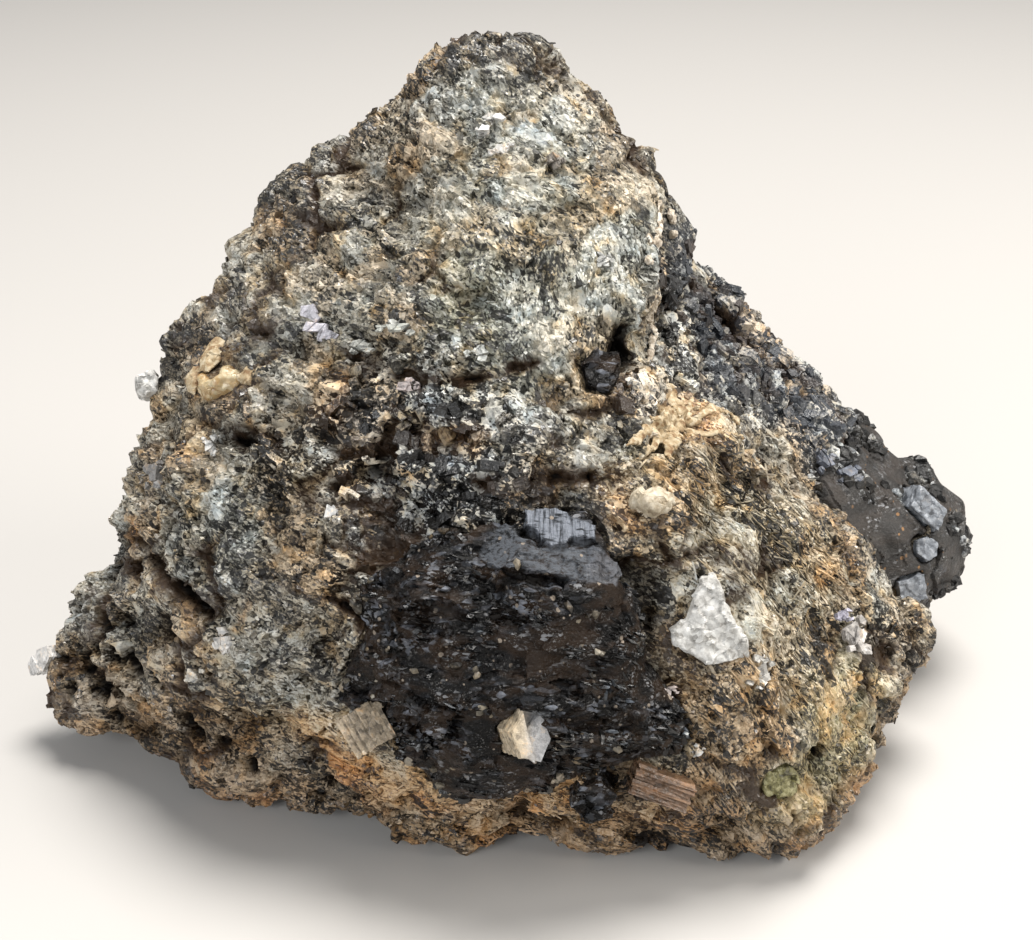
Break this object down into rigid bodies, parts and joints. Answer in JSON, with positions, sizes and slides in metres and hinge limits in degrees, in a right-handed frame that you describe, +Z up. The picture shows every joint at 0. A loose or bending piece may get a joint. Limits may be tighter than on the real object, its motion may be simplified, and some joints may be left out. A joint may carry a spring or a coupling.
{
  "type": "black tourmaline in mica schist specimen",
  "caption": "Broken hand specimen of mica schist with black tourmaline, quartz, feldspar and mica grown into it, standing on its rough flat base.",
  "frame": {"origin": "middle of the specimen's bounding box at the level of the surface that it stands on", "axes": "+Z up, +X to the right of the broken face with the black tourmaline, +Y from that face to the back"},
  "size_m": [0.1202, 0.0824, 0.0832],
  "materials": {
    "schist": "rough broken mica schist with glittering flakes",
    "schorl": "glossy broken black tourmaline with a blue-grey sheen",
    "feldspar": "pale blue-grey cleaved blocks",
    "quartz": "milky, greasy lustre",
    "stained_quartz": "honey-stained, greasy lustre",
    "mica": "silvery tan, pearly on the flat of each sheet",
    "brown_mica": "brown, fine parallel sheets",
    "olive": "olive, dull"
  },
  "bodies": {
    "root": {"schist_matrix": "schist", "front_schorl": "schorl", "side_schorl": "schorl", "pocket_schorl": "schorl", "low_schorl": "schorl", "feldspar_block_upper": "feldspar", "feldspar_block_middle": "feldspar", "feldspar_block_lower": "feldspar", "cream_quartz": "stained_quartz", "white_quartz": "quartz", "edge_quartz": "quartz", "yellow_quartz": "stained_quartz", "mica_book_front": "mica", "mica_book_left": "mica", "tip_mica": "mica", "brown_mica_book": "brown_mica", "olive_grain": "olive"}
  },
  "joints": []
}
